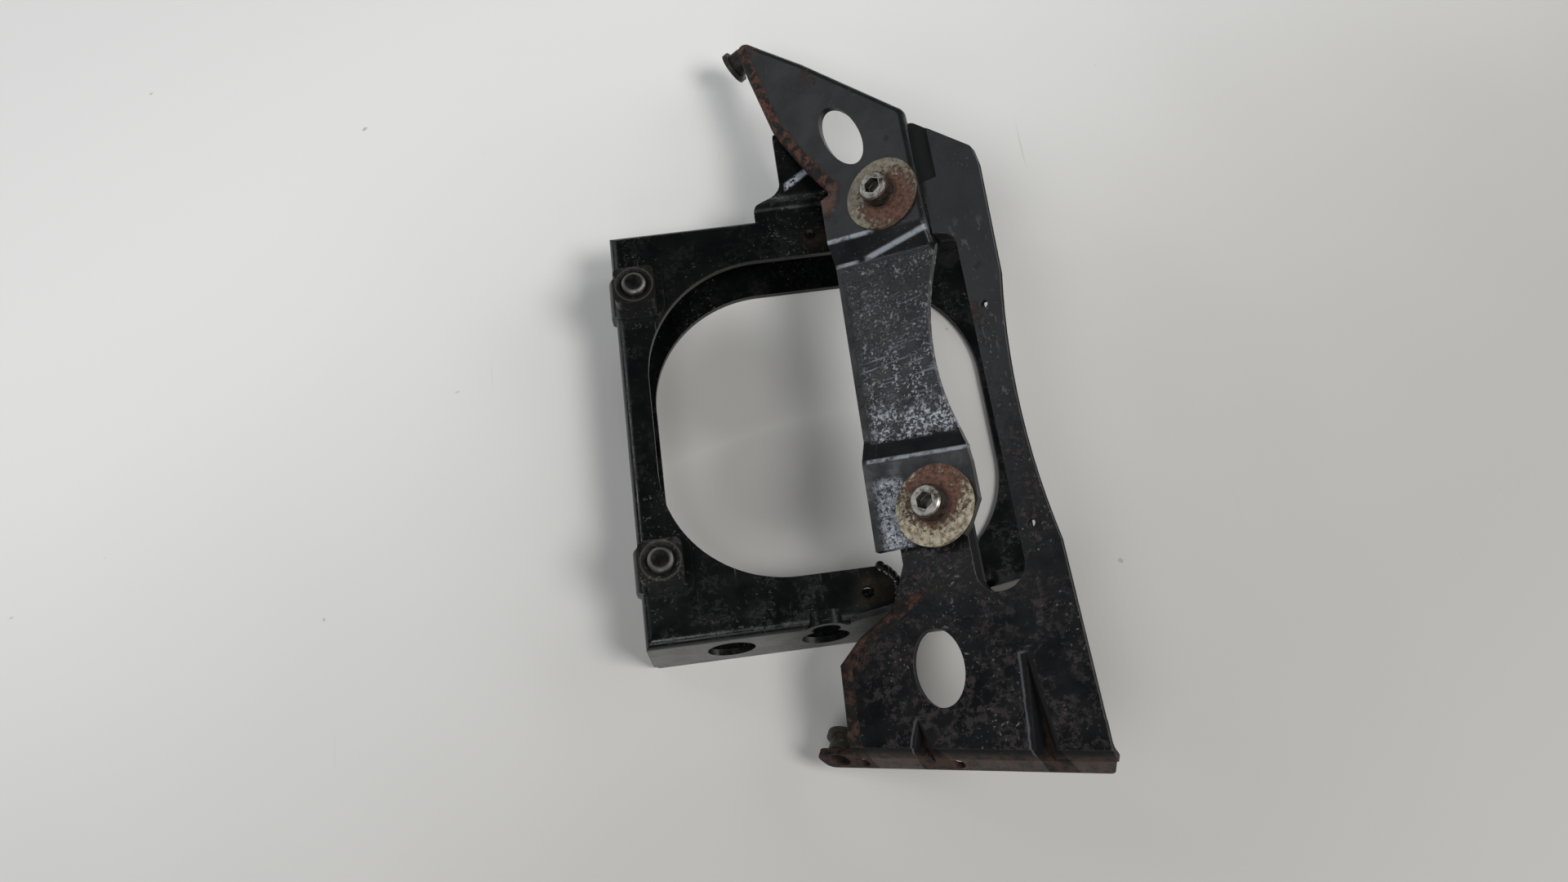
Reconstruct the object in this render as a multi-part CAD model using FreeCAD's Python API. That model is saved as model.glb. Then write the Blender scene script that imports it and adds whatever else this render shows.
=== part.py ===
import FreeCAD, Part
import math
import os

os.makedirs("parts", exist_ok=True)

# Grab bar bracket: a pressed channel frame with a big square window lies flat. A sloping rail plate
# stands over its right side, and a cross strap with an arm is screwed on the rail plate.
# Sizes are counted from the window's centre, on the surface that the frame lies on. X runs across and
# Y along the rail. The saved origin is the middle of the bottom sheet's left side.

V = FreeCAD.Vector

# Channel frame, millimetres
SHEET = 2.0
FRAME_LEFT = 65.5
FRAME_RIGHT = 63.5
FRAME_HALF = 73.0
FRAME_HEIGHT = 26.0
FRAME_BEND = 3.0
WINDOW_LEFT = FRAME_LEFT - 9.0
WINDOW_RIGHT = FRAME_RIGHT - 7.0
WINDOW_HALF = FRAME_HALF - 16.5
WINDOW_CORNER = 40.0
LOBE_X = 3.5
LOBE_Y = FRAME_HALF - 8.7
LOBE_RADIUS = 10.0
LOBE_HOLE = 4.0
HUMP_X = -10.5
WALL_HOLE_X = (HUMP_X - 29.5, HUMP_X)
WALL_HOLE_DIAMETER = 15.0
WALL_HOLE_DROP = 13.5
HUMP_DIAMETER = 13.0
HUMP_LENGTH = 4.5
HUMP_RISE = 2.0

# Tongue that leaves the frame's face below the arm
TONGUE_X = (-14.5, 12.0)
TONGUE_NECK = 10.0
TONGUE_REACH = 33.0
TONGUE_RISE = 3.5
TONGUE_RUN = 2.5

# Sloping rail plate, in its own flat frame: U across, V along, W out of the sheet
SLOPE = 32.6
PLATE_X = 24.4
PLATE_Z = 50.0
PLATE_SHIFT = -FRAME_HALF
SPAN = 2 * FRAME_HALF
RAIL_SHEET = 2.0
RAIL_RIGHT = 34.0
RAIL_WAIST = 3.6
RAIL_TOP = SPAN - 14.5
RAIL_CORNER = RAIL_TOP + 7.0
RAIL_SHOULDER = (15.4, RAIL_TOP + 26.6)
RAIL_HEAD_LEFT = -12.0
RAIL_HEAD_TOP = SPAN + 1.0
RAIL_HEAD_FOOT = SPAN - 20.0
RAIL_HEAD_STEP = (-3.0, 5.0)
RAIL_END_RIGHT = (34.8, -53.0)
RAIL_END_LEFT = (-43.0, -36.3)
LIP_DEPTH = 5.0
LIP_SHEET = 1.6
SLOT_LEFT = 7.0
SLOT_RIGHT = 22.5
SLOT_BOTTOM = -4.0
SLOT_TOP = SPAN - 32.0
NECK_LEFT = -15.0
NECK_TOP = 33.0
RAIL_HOLE = (-9.5, -20.5)
RAIL_HOLE_WIDTH = 16.0
RAIL_HOLE_LENGTH = 23.0
PIN_HOLES = ((26.8, SPAN - 62.4), (26.5, 12.6))
PIN_HOLE = 2.6
END_FLANGE = 12.0
END_FLANGE_LEAN = 26.0
END_FLANGE_EAR = 14.0
END_BEND = 3.0
SIDE_FLANGE = 5.0
HIP = ((-20.0, 1.0), (-34.0, -5.5), (-42.0, -12.0))
HIP_ROUND = 2.0
LEG_TOP = (-15.0, 11.5)
LEG_FOOT = (-18.6, 3.6)
FLANGE_HOLES = (1.0, 32.0)
FLANGE_HOLE = 4.5
DART_X = 17.0
DART_LENGTH = 27.0
DART_WIDTH = 6.5
DART_DEPTH = 5.0
SMALL_DART_X = -19.0
SMALL_DART_LENGTH = 8.0
SMALL_DART_WIDTH = 5.5
HEAD_GROOVE = (14.5, 20.5)
HEAD_GROOVE_DEPTH = 0.8
CHEEK_START = {-1: -3.0, 1: 12.0}
CHEEK_RIGHT = 46.0
CHEEK_GAP = 0.3

# Cross strap and arm
STRAP_SHEET = 2.5
STRAP_LEFT = -20.5
STRAP_RIGHT = 15.0
STRAP_WAIST = 8.0
STRAP_END = 15.5
JOGGLE_DROP = 3.5
JOGGLE_RUN = 8.0
JOGGLE_LOW = 46.5
JOGGLE_HIGH = SPAN - 28.0
JOGGLE_RADIUS = 2.6
JOGGLE_SLANT = 10.0
BLANK_HALF = 80.0
TAB_TOP = SPAN - 3.5
ARM_ROOT = (-17.0, TAB_TOP + 1.0)
ARM_TIP = (-47.5, SPAN + 83.5)
ARM_SIDE = ((-24.7, SPAN + 10.6), (-35.1, SPAN + 31.6), (-41.8, SPAN + 58.8))
ARM_SIDE_ROUND = 30.0
ARM_NOTCH = (-20.0, SPAN + 55.3)
ARM_SHOULDER = (14.5, SPAN + 16.5)
ARM_HOLE = (-9.0, SPAN + 17.7)
ARM_HOLE_WIDTH = 12.4
ARM_HOLE_LENGTH = 28.0
ARM_HOLE_TURN = 20.0
ARM_EDGE_FLANGE = 13.0
ARM_EDGE_ROUND = 2.0

# Screws, washers and nuts
SCREW = 6.0
SCREW_HEAD = 10.0
SCREW_HEAD_HEIGHT = 6.0
SCREW_SOCKET = 5.0
SCREW_SOCKET_DEPTH = 3.0
WASHER = 25.0
WASHER_SHEET = 1.5
WASHER_BORE = 6.4
HEX_NUT = 10.0
HEX_NUT_HEIGHT = 5.0
CLAMP_POINTS = {"lower": (0.0, 25.5), "upper": (2.1, SPAN - 11.9)}
STUD = 8.0
STUD_OUT = 8.0
STUD_BELOW = 6.0
SQUARE_NUT = 13.5
SQUARE_NUT_HEIGHT = 6.5
SQUARE_NUT_CORNER = 2.2
STUD_INSET = 7.7
STUD_X = STUD_INSET - FRAME_LEFT
STUD_Y = (24.7 - FRAME_HALF, FRAME_HALF - 24.7)
PAD_SHEET = 1.5
PAD_SIZE = 18.5
PAD_DROP = 9.0
PAD_CORNER = 4.5
EDGE_NUT_COLLAR = 12.0
EDGE_NUT_COLLAR_SHEET = 1.8
EDGE_NUT = 9.0
EDGE_NUT_HEIGHT = 6.0
EDGE_NUT_BORE = 5.0
EDGE_NUT_DROP = 7.5
ARM_NUT_SPOT = 0.7
EAR_NUT_SPOT = (-6.0, 7.5)

FACE = FRAME_HEIGHT
PLATE = FreeCAD.Placement(V(PLATE_X, PLATE_SHIFT, PLATE_Z), FreeCAD.Rotation(V(0, 1, 0), -SLOPE))
STRAP_TOP = -WASHER_SHEET
RAIL_FACE = STRAP_TOP - STRAP_SHEET
RAIL_BACK = RAIL_FACE - RAIL_SHEET


def line(a, b):
    return Part.LineSegment(a, b).toShape()


def rounded_wire(points, radii, closed=True):
    """A wire through flat points, with an arc of its own radius at each corner."""
    count = len(points)
    legs = []
    for i, corner in enumerate(points):
        radius = radii[i] if isinstance(radii, (list, tuple)) else radii
        if radius <= 0 or (not closed and i in (0, count - 1)):
            legs.append((corner, corner, None))
            continue
        before = (points[i - 1] - corner).normalize()
        after = (points[(i + 1) % count] - corner).normalize()
        half = before.getAngle(after) / 2
        reach = radius / math.tan(half)
        start = corner + before * reach
        end = corner + after * reach
        middle = (before + after).normalize()
        mid = corner + middle * (radius / math.sin(half) - radius)
        legs.append((start, end, mid))
    edges = []
    for i, (start, end, mid) in enumerate(legs):
        if mid is not None:
            edges.append(Part.Arc(start, mid, end).toShape())
        if i + 1 < count or closed:
            following = legs[(i + 1) % count][0]
            if end.distanceToPoint(following) > 1e-6:
                edges.append(line(end, following))
    return Part.Wire(edges)


def plate(points, radii, low, high):
    """A flat plate between two levels, from the corners of its outline."""
    corners = [V(x, y, low) for x, y in points]
    return Part.Face(rounded_wire(corners, radii)).extrude(V(0, 0, high - low))


def box(x0, x1, y0, y1, z0, z1):
    return Part.makeBox(x1 - x0, y1 - y0, z1 - z0, V(x0, y0, z0))


def rod(x, y, z, diameter, height, direction=V(0, 0, 1)):
    return Part.makeCylinder(diameter / 2, height, V(x, y, z), direction)


def oval(x, y, width, length, low, high, turn=0.0):
    """A true ellipse hole cutter with its long side along Y, turned about its centre."""
    ellipse = Part.Ellipse(V(0, 0, 0), length / 2, width / 2)
    face = Part.Face(Part.Wire([ellipse.toShape()]))
    solid = face.extrude(V(0, 0, high - low))
    solid.Placement = FreeCAD.Placement(V(x, y, low), FreeCAD.Rotation(V(0, 0, 1), 90 + turn))
    return solid


def offset_path(points, distance):
    """Flat points moved sideways by a distance, with mitred corners."""
    moved = []
    for i, point in enumerate(points):
        normals = []
        if i > 0:
            step = (points[i] - points[i - 1]).normalize()
            normals.append(V(-step.y, step.x, 0))
        if i + 1 < len(points):
            step = (points[i + 1] - points[i]).normalize()
            normals.append(V(-step.y, step.x, 0))
        total = normals[0] if len(normals) == 1 else normals[0] + normals[1]
        scale = distance / total.normalize().dot(normals[0])
        moved.append(point + total * scale)
    return moved


def bent_sheet(points, sheet, radius, width, place):
    """A bent sheet: a folded path of one thickness with round bends, extruded by a width."""
    path = [V(a, b, 0) for a, b in points]
    other = offset_path(path, -sheet)
    outer = []
    inner = []
    for i in range(len(path)):
        turn = 0.0
        if 0 < i < len(path) - 1:
            turn = (path[i] - path[i - 1]).cross(path[i + 1] - path[i]).z
        outer.append(radius + sheet if turn < 0 else radius)
        inner.append(radius if turn < 0 else radius + sheet)
    top = rounded_wire(path, outer, closed=False)
    bottom = rounded_wire(other, inner, closed=False)
    ends = [line(path[0], other[0]), line(path[-1], other[-1])]
    face = Part.Face(Part.Wire(Part.__sortEdges__(top.Edges + bottom.Edges + ends)))
    solid = face.extrude(V(0, 0, width))
    solid.Placement = place
    return solid


def on_plate(shape):
    """Takes a shape from the plate's flat frame to its place on the slope."""
    moved = shape.copy()
    moved.Placement = PLATE.multiply(moved.Placement)
    return moved


def square_window(low, high):
    half = WINDOW_HALF
    corners = [(-WINDOW_LEFT, -half), (WINDOW_RIGHT, -half)]
    corners += [(WINDOW_RIGHT, half), (-WINDOW_LEFT, half)]
    return plate(corners, WINDOW_CORNER, low, high)


def channel_frame():
    """The upper pressing: a face open to the right, three side walls, two cheeks and the tongue."""
    outer = [(-FRAME_LEFT, -FRAME_HALF), (FRAME_RIGHT, -FRAME_HALF)]
    outer += [(FRAME_RIGHT, FRAME_HALF), (-FRAME_LEFT, FRAME_HALF)]
    block = plate(outer, 0, SHEET, FACE)
    rims = []
    for edge in block.Edges:
        centre = edge.BoundBox.Center
        right = centre.x > FRAME_RIGHT - 0.1
        if centre.z > FACE - 0.1 and not right:
            rims.append(edge)
    block = block.makeFillet(FRAME_BEND, rims)
    inside = [(-FRAME_LEFT + SHEET, -FRAME_HALF + SHEET), (FRAME_RIGHT + 1, -FRAME_HALF + SHEET)]
    inside += [(FRAME_RIGHT + 1, FRAME_HALF - SHEET), (-FRAME_LEFT + SHEET, FRAME_HALF - SHEET)]
    shell = block.cut(plate(inside, 0, 0, FACE - SHEET))
    shell = shell.cut(square_window(FACE - 2 * SHEET, FACE + 1))
    inner = FRAME_HALF - SHEET
    opening = box(LOBE_X, FRAME_RIGHT + 1, -inner, inner, FACE - 2 * SHEET, FACE + 1)
    for side in (-1, 1):
        lobe = rod(LOBE_X, side * LOBE_Y, FACE - 2 * SHEET, 2 * LOBE_RADIUS, 3 * SHEET + 1)
        opening = opening.cut(lobe)
    shell = shell.cut(opening)
    for side in (-1, 1):
        shell = shell.fuse(cheek(side))
    keep_out = slot_cutter(LIP_SHEET + CHEEK_GAP, RAIL_BACK - LIP_DEPTH - CHEEK_GAP, RAIL_BACK + 1)
    shell = shell.cut(on_plate(keep_out))
    shell = shell.cut(on_plate(arm_flange())).cut(on_plate(hip_flange()))
    shell = shell.fuse(tongue()).fuse(hump())
    for side in (-1, 1):
        shell = shell.cut(rod(LOBE_X, side * LOBE_Y, FACE - 2 * SHEET, LOBE_HOLE, 3 * SHEET))
    bore = HUMP_DIAMETER - 2 * SHEET
    level = FACE + HUMP_RISE - HUMP_DIAMETER / 2
    near = -FRAME_HALF - 1
    shell = shell.cut(rod(HUMP_X, near, level, bore, HUMP_LENGTH, V(0, 1, 0)))
    for x in WALL_HOLE_X:
        hole = rod(x, near, FACE - WALL_HOLE_DROP, WALL_HOLE_DIAMETER, 2 * SHEET, V(0, 1, 0))
        shell = shell.cut(hole)
    for y in STUD_Y:
        shell = shell.cut(rod(STUD_X, y, FACE - 2 * SHEET, STUD, 3 * SHEET))
    return shell.removeSplitter()


def under_rail(x):
    """Height of the rail plate's underside above a place across the frame."""
    slope = math.radians(SLOPE)
    start = PLATE_X - RAIL_BACK * math.sin(slope)
    return PLATE_Z + RAIL_BACK * math.cos(slope) + (x - start) * math.tan(slope)


def cheek(side):
    """The part of a side wall that rises to carry the sloping rail plate."""
    start = CHEEK_START[side]
    corners = [(start, SHEET), (CHEEK_RIGHT, SHEET), (CHEEK_RIGHT, under_rail(CHEEK_RIGHT))]
    corners.append((start, under_rail(start)))
    inner = side * (FRAME_HALF - SHEET)
    outer = side * FRAME_HALF
    face = Part.Face(Part.makePolygon([V(x, inner, z) for x, z in corners + corners[:1]]))
    return face.extrude(V(0, outer - inner, 0))


def bottom_ring():
    """The lower sheet of the frame, with the same window."""
    outer = [(-FRAME_LEFT, -FRAME_HALF), (FRAME_RIGHT, -FRAME_HALF)]
    outer += [(FRAME_RIGHT, FRAME_HALF), (-FRAME_LEFT, FRAME_HALF)]
    return plate(outer, 2.0, 0, SHEET).cut(square_window(-1, SHEET + 1))


def tongue():
    """The strip that leaves the frame's face, steps up and ends against the arm's turned-down edge."""
    start = FRAME_HALF - 12
    step = FRAME_HALF + 3
    far = FRAME_HALF + TONGUE_REACH
    high = FACE + TONGUE_RISE
    path = [(start, FACE), (step, FACE), (step + TONGUE_RUN, high), (far, high)]
    width = TONGUE_X[1] - TONGUE_X[0]
    turn = FreeCAD.Rotation(V(0, 1, 0), V(0, 0, 1), V(1, 0, 0), "XYZ")
    strip = bent_sheet(path, SHEET, 2.0, width, FreeCAD.Placement(V(TONGUE_X[0], 0, 0), turn))
    neck = TONGUE_X[0] + TONGUE_NECK
    outline = [(TONGUE_X[0], start), (TONGUE_X[1], start), (TONGUE_X[1], far), (neck, far)]
    outline += [(neck, step + 4), (TONGUE_X[0], step + 1)]
    strip = strip.common(plate(outline, [0, 0, 3, 3, 6, 2], FACE - SHEET - 1, high + 1))
    return strip.cut(on_plate(arm_prism(-PLATE_Z, PLATE_Z)))


def hump():
    """The small raised arch at the face's lower edge, over the second wall hole."""
    level = FACE + HUMP_RISE - HUMP_DIAMETER / 2
    outer = rod(HUMP_X, -FRAME_HALF, level, HUMP_DIAMETER, HUMP_LENGTH, V(0, 1, 0))
    keep = box(HUMP_X - HUMP_DIAMETER, HUMP_X + HUMP_DIAMETER, -FRAME_HALF, 0, FACE - FRAME_BEND, FACE + 20)
    return outer.common(keep)


def rail_outline():
    """The outline of the rail plate: the waist is an arc, and the head is under the arm."""
    right = RAIL_RIGHT
    low = 6.0
    high = SPAN - 54.0
    middle = (low + high) / 2
    top = V(right + 1.0, RAIL_TOP, 0)
    corner = V(right, RAIL_CORNER, 0)
    points = [V(*RAIL_END_LEFT, 0), V(*RAIL_END_RIGHT, 0), V(right, low, 0)]
    edges = [line(points[0], points[1]), line(points[1], points[2])]
    edges.append(Part.Arc(points[2], V(right - RAIL_WAIST, middle, 0), V(right, high, 0)).toShape())
    shoulder = V(*RAIL_SHOULDER, 0)
    step = V(RAIL_HEAD_STEP[1], RAIL_SHOULDER[1], 0)
    inset = V(RAIL_HEAD_STEP[0], RAIL_HEAD_TOP, 0)
    head = V(RAIL_HEAD_LEFT, RAIL_HEAD_TOP, 0)
    foot = V(RAIL_HEAD_LEFT, RAIL_HEAD_FOOT, 0)
    inner = V(SLOT_LEFT, RAIL_HEAD_FOOT, 0)
    slot_top = V(SLOT_LEFT, NECK_TOP, 0)
    neck = V(NECK_LEFT, NECK_TOP, 0)
    edges += [line(V(right, high, 0), top), line(top, corner), line(corner, shoulder), line(shoulder, step)]
    edges += [line(step, inset), line(inset, head)]
    edges += [line(head, foot), line(foot, inner), line(inner, slot_top), line(slot_top, neck)]
    hip = [neck, V(NECK_LEFT, 12, 0)] + hip_path()[:-1] + [points[0]]
    edges += [line(a, b) for a, b in zip(hip[:-1], hip[1:])]
    return Part.Wire(edges)


def slot_cutter(grow, low, high):
    """The long window between the strap and the rail's right side."""
    left = SLOT_LEFT - grow
    right = SLOT_RIGHT + grow
    bottom = SLOT_BOTTOM - grow
    top = SLOT_TOP + grow
    corners = [(left, bottom), (right, bottom), (right, top), (left, top)]
    radius = (right - left) / 2 - 0.3
    return plate(corners, radius, low, high)


def rail_plate():
    """The sloping pressing: plate, drawn lip round the slot, end flange, side flange and darts."""
    flat = Part.Face(rail_outline()).extrude(V(0, 0, RAIL_SHEET))
    flat.translate(V(0, 0, RAIL_BACK))
    corners = [(RAIL_RIGHT + 1.0, RAIL_TOP), (RAIL_RIGHT, RAIL_CORNER), RAIL_SHOULDER]
    flat = round_corners(flat, corners, 4.0)
    flat = flat.fuse(hip_flange()).removeSplitter()
    flat = soften(flat, hip_path(), RAIL_FACE, HIP_ROUND)
    lip = slot_cutter(LIP_SHEET, RAIL_BACK - LIP_DEPTH, RAIL_FACE)
    body = flat.fuse(lip.common(right_of_neck()))
    body = body.cut(slot_cutter(0, RAIL_BACK - LIP_DEPTH - 1, RAIL_FACE + 1))
    body = body.cut(slot_mouth())
    body = body.fuse(end_flange())
    darts = ((DART_X, DART_LENGTH, DART_WIDTH), (SMALL_DART_X, SMALL_DART_LENGTH, SMALL_DART_WIDTH))
    left, right, along = end_line()
    wide = right.x - left.x
    outside = box(-wide, 2 * wide, -wide / 2, wide, -wide, 0)
    outside.Placement = flange_frame()
    for x, length, width in darts:
        edge = left.y + (x - left.x) * along.y / along.x
        skin = dart(x, edge, length + RAIL_SHEET, width + 2 * RAIL_SHEET, RAIL_BACK).cut(outside)
        body = body.fuse(skin).cut(dart(x, edge, length, width, RAIL_FACE))
    low = RAIL_FACE - HEAD_GROOVE_DEPTH
    end = RAIL_SHOULDER[1] + 5
    body = body.cut(box(*HEAD_GROOVE, RAIL_TOP + 2, end, low, RAIL_FACE + 1))
    x, y = RAIL_HOLE
    body = body.cut(oval(x, y, RAIL_HOLE_WIDTH, RAIL_HOLE_LENGTH, RAIL_BACK - 1, RAIL_FACE + 1, 4))
    for x, y in PIN_HOLES:
        body = body.cut(rod(x, y, RAIL_BACK - 1, PIN_HOLE, RAIL_SHEET + 2))
    for x, y in CLAMP_POINTS.values():
        body = body.cut(rod(x, y, RAIL_BACK - 1, WASHER_BORE, RAIL_SHEET + 2))
    return body.removeSplitter()


def right_of_neck():
    return box(-FRAME_LEFT, FRAME_RIGHT, -FRAME_HALF, SLOT_TOP + 3, -PLATE_Z, PLATE_Z)


def slot_mouth():
    """Opens the slot to the left between the neck and the head, where the strap bridges it."""
    right = STRAP_RIGHT + 0.3
    low = RAIL_BACK - LIP_DEPTH - 1
    return box(RAIL_HEAD_LEFT - 30, right, NECK_TOP, RAIL_HEAD_FOOT, low, RAIL_FACE + 1)


def end_line():
    left = V(*RAIL_END_LEFT, 0)
    right = V(*RAIL_END_RIGHT, 0)
    return left, right, (right - left).normalize()


def flange_frame():
    """The flat frame of the end flange: X along the bend, Y down the flange, Z through the sheet."""
    left, right, along = end_line()
    lean = math.radians(END_FLANGE_LEAN)
    down = V(along.y, -along.x, 0) * math.sin(lean) + V(0, 0, -math.cos(lean))
    turn = FreeCAD.Rotation(along, down, along.cross(down), "XYZ")
    return FreeCAD.Placement(V(left.x, left.y, RAIL_FACE), turn)


def end_flange():
    """The flange bent down along the lower end of the rail plate, with an ear past its left end."""
    left, right, along = end_line()
    out = V(along.y, -along.x, 0)
    lean = math.radians(END_FLANGE_LEAN)
    leg = END_BEND + RAIL_SHEET + 0.5
    path = [(-8.0, 0.0), (0.0, 0.0), (leg * math.sin(lean), -leg * math.cos(lean))]
    length = left.distanceToPoint(right)
    turn = FreeCAD.Rotation(out, V(0, 0, 1), out.cross(V(0, 0, 1)), "XYZ")
    start = left if out.cross(V(0, 0, 1)).dot(along) > 0 else right
    base = V(start.x, start.y, RAIL_FACE)
    bend = bent_sheet(path, RAIL_SHEET, END_BEND, length, FreeCAD.Placement(base, turn))
    top = leg - 1.5
    corners = [(-END_FLANGE_EAR, top), (length, top), (length - 3.0, END_FLANGE)]
    corners.append((-END_FLANGE_EAR + 2.0, END_FLANGE))
    flange = plate(corners, [3.0, 0, 2.0, 3.0], 0, RAIL_SHEET)
    for x in FLANGE_HOLES:
        flange = flange.cut(rod(x, END_FLANGE - FLANGE_HOLE / 2 - 1.2, -1, FLANGE_HOLE, RAIL_SHEET + 2))
    x, y = EAR_NUT_SPOT
    flange = flange.cut(rod(x, y, -1, EDGE_NUT_BORE + 1, RAIL_SHEET + 2))
    flange.Placement = flange_frame()
    bend = bend.cut(box(right.x, right.x + 20, right.y - 10, right.y + 20, -40, 10))
    return bend.fuse(flange)


def dart(x, edge, length, width, level):
    """A solid V that deepens from its point on the plate towards the lower bend and past it."""
    run = length + 8.0
    grow = run / length
    near = V(x, edge + length, level)
    left = V(x - width * grow / 2, edge + length - run, level)
    right = V(x + width * grow / 2, edge + length - run, level)
    deep = V(x, edge + length - run, level - DART_DEPTH * grow)
    faces = []
    for corners in ((near, left, right), (near, deep, left), (near, right, deep), (left, deep, right)):
        faces.append(Part.Face(Part.makePolygon(list(corners) + [corners[0]])))
    return Part.makeSolid(Part.makeShell(faces))


def leg():
    """The web that drops from the rail plate's hip onto the frame's lower lobe."""
    path = [V(*LEG_FOOT, 0), V(*LEG_TOP, 0)]
    inner = offset_path(path, -RAIL_SHEET)
    corners = [path[0], path[1], inner[1], inner[0]]
    level = RAIL_BACK + RAIL_SHEET / 2
    rim = Part.Face(Part.makePolygon([V(p.x, p.y, level) for p in corners + corners[:1]]))
    web = on_plate(rim).extrude(V(0, 0, -PLATE_Z))
    return web.cut(box(-FRAME_LEFT, FRAME_RIGHT, -FRAME_HALF, FRAME_HALF, -PLATE_Z, FACE))


def hip_path():
    """The lower lobe's left edge, from the neck to the end flange."""
    return [V(x, y, 0) for x, y in (*HIP, RAIL_END_LEFT)]


def hip_flange():
    """The edge turned down along the left side of the lower lobe."""
    path = hip_path()
    moved = offset_path(path, RAIL_SHEET)
    corners = [(p.x, p.y) for p in path] + [(p.x, p.y) for p in reversed(moved)]
    return plate(corners, 0, RAIL_BACK - SIDE_FLANGE, RAIL_FACE)


def arm_side():
    """The left edge of the arm, from the strap's corner to the tip."""
    return [V(x, y, 0) for x, y in (ARM_ROOT, *ARM_SIDE, ARM_TIP)]


def strap_outline():
    """Plan of the arm, the upper tab, the waisted strap and the lower tab."""
    left = STRAP_LEFT
    right = STRAP_RIGHT
    points = [V(*ARM_TIP, 0), V(*ARM_NOTCH, 0), V(*ARM_SHOULDER, 0)]
    points += [V(right, JOGGLE_HIGH - 6, 0), V(right - 2, JOGGLE_HIGH - 12, 0)]
    low = V(right - 2, JOGGLE_LOW - 5, 0)
    waist = V(STRAP_WAIST - 1, (JOGGLE_HIGH + JOGGLE_LOW) / 2, 0)
    edges = [line(a, b) for a, b in zip(points[:-1], points[1:])]
    edges.append(Part.Arc(points[-1], waist, low).toShape())
    ends = [low, V(right - 1.4, 36, 0), V(right - 1.4, STRAP_END + 8.5, 0), V(right - 6, STRAP_END + 1, 0)]
    ends += [V(right - 8, STRAP_END - 1, 0), V(left - 1.5, STRAP_END + 2, 0)]
    ends += [V(left, TAB_TOP, 0)] + arm_side()
    edges += [line(a, b) for a, b in zip(ends[:-1], ends[1:])]
    return Part.Wire(edges)


def arm_prism(low, high):
    """The strap and arm outline as a block, with its free corners rounded."""
    prism = Part.Face(strap_outline()).extrude(V(0, 0, high - low))
    prism.translate(V(0, 0, low))
    prism = round_corners(prism, [ARM_TIP], 3.0)
    prism = round_corners(prism, ARM_SIDE, ARM_SIDE_ROUND)
    return round_corners(prism, [ARM_NOTCH, ARM_SHOULDER], 5.0)


def round_corners(solid, spots, radius):
    """Rounds the upright edges of a flat blank at the places given."""
    edges = []
    for edge in solid.Edges:
        bound = edge.BoundBox
        upright = bound.XLength < 0.01 and bound.YLength < 0.01
        if upright and any(math.hypot(bound.XMin - x, bound.YMin - y) < 0.1 for x, y in spots):
            edges.append(edge)
    return solid.makeFillet(radius, edges)


def soften(solid, path, level, radius):
    """Rounds the top edges of a pressing that lie along a flat path."""
    trace = Part.makePolygon([V(p.x, p.y, level) for p in path])
    edges = []
    for edge in solid.Edges:
        middle = edge.valueAt((edge.FirstParameter + edge.LastParameter) / 2)
        flat = edge.BoundBox.ZLength < 0.01 and abs(middle.z - level) < 0.01
        if flat and trace.distToShape(Part.Vertex(middle))[0] < 0.9 and edge.Length > 1.0:
            edges.append(edge)
    return solid.makeFillet(radius, edges)


def arm_flange():
    """The edge turned down along the arm's left side."""
    side = arm_side()
    side[0] += (side[1] - side[0]).normalize() * 2.0
    outer = offset_path(side, 4.0)
    inner = offset_path(side, -STRAP_SHEET)
    corners = [(p.x, p.y) for p in outer] + [(p.x, p.y) for p in reversed(inner)]
    band = plate(corners, 0, STRAP_TOP - ARM_EDGE_FLANGE, STRAP_TOP)
    return band.common(arm_prism(STRAP_TOP - 40, STRAP_TOP + 10))


def cross_strap():
    """The arm and strap pressing: joggled twice, with an oval hole and an edge turned down."""
    top = STRAP_TOP
    low = top - JOGGLE_DROP
    half = JOGGLE_RUN / 2
    path = [(-20.0, top), (JOGGLE_LOW - half, top), (JOGGLE_LOW + half, low)]
    path += [(JOGGLE_HIGH - half, low), (JOGGLE_HIGH + half, top), (ARM_TIP[1] + 30.5, top)]
    slant = math.radians(JOGGLE_SLANT)
    across = V(math.cos(slant), -math.sin(slant), 0)
    turn = FreeCAD.Rotation(V(0, 1, 0), V(0, 0, 1), V(1, 0, 0), "XYZ")
    place = FreeCAD.Placement(V(-BLANK_HALF, 0, 0), turn)
    strip = bent_sheet(path, STRAP_SHEET, JOGGLE_RADIUS, 2 * BLANK_HALF, place)
    shear = FreeCAD.Matrix()
    shear.A21 = -math.tan(slant)
    strip = strip.transformGeometry(shear)
    body = strip.common(arm_prism(-25, 15)).fuse(arm_flange()).removeSplitter()
    body = soften(body, arm_side(), STRAP_TOP, ARM_EDGE_ROUND)
    x, y = ARM_HOLE
    body = body.cut(oval(x, y, ARM_HOLE_WIDTH, ARM_HOLE_LENGTH, -30, 10, ARM_HOLE_TURN))
    for x, y in CLAMP_POINTS.values():
        body = body.cut(rod(x, y, -30, WASHER_BORE, 40))
    return body


def washer(x, y):
    ring = rod(x, y, STRAP_TOP, WASHER, WASHER_SHEET)
    return ring.cut(rod(x, y, STRAP_TOP - 1, WASHER_BORE, WASHER_SHEET + 2))


def hexagon(x, y, z, across, height):
    points = []
    for i in range(6):
        angle = math.radians(60 * i + 30)
        reach = across / math.sqrt(3)
        points.append((x + reach * math.cos(angle), y + reach * math.sin(angle)))
    return plate(points, 0, z, z + height)


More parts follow.
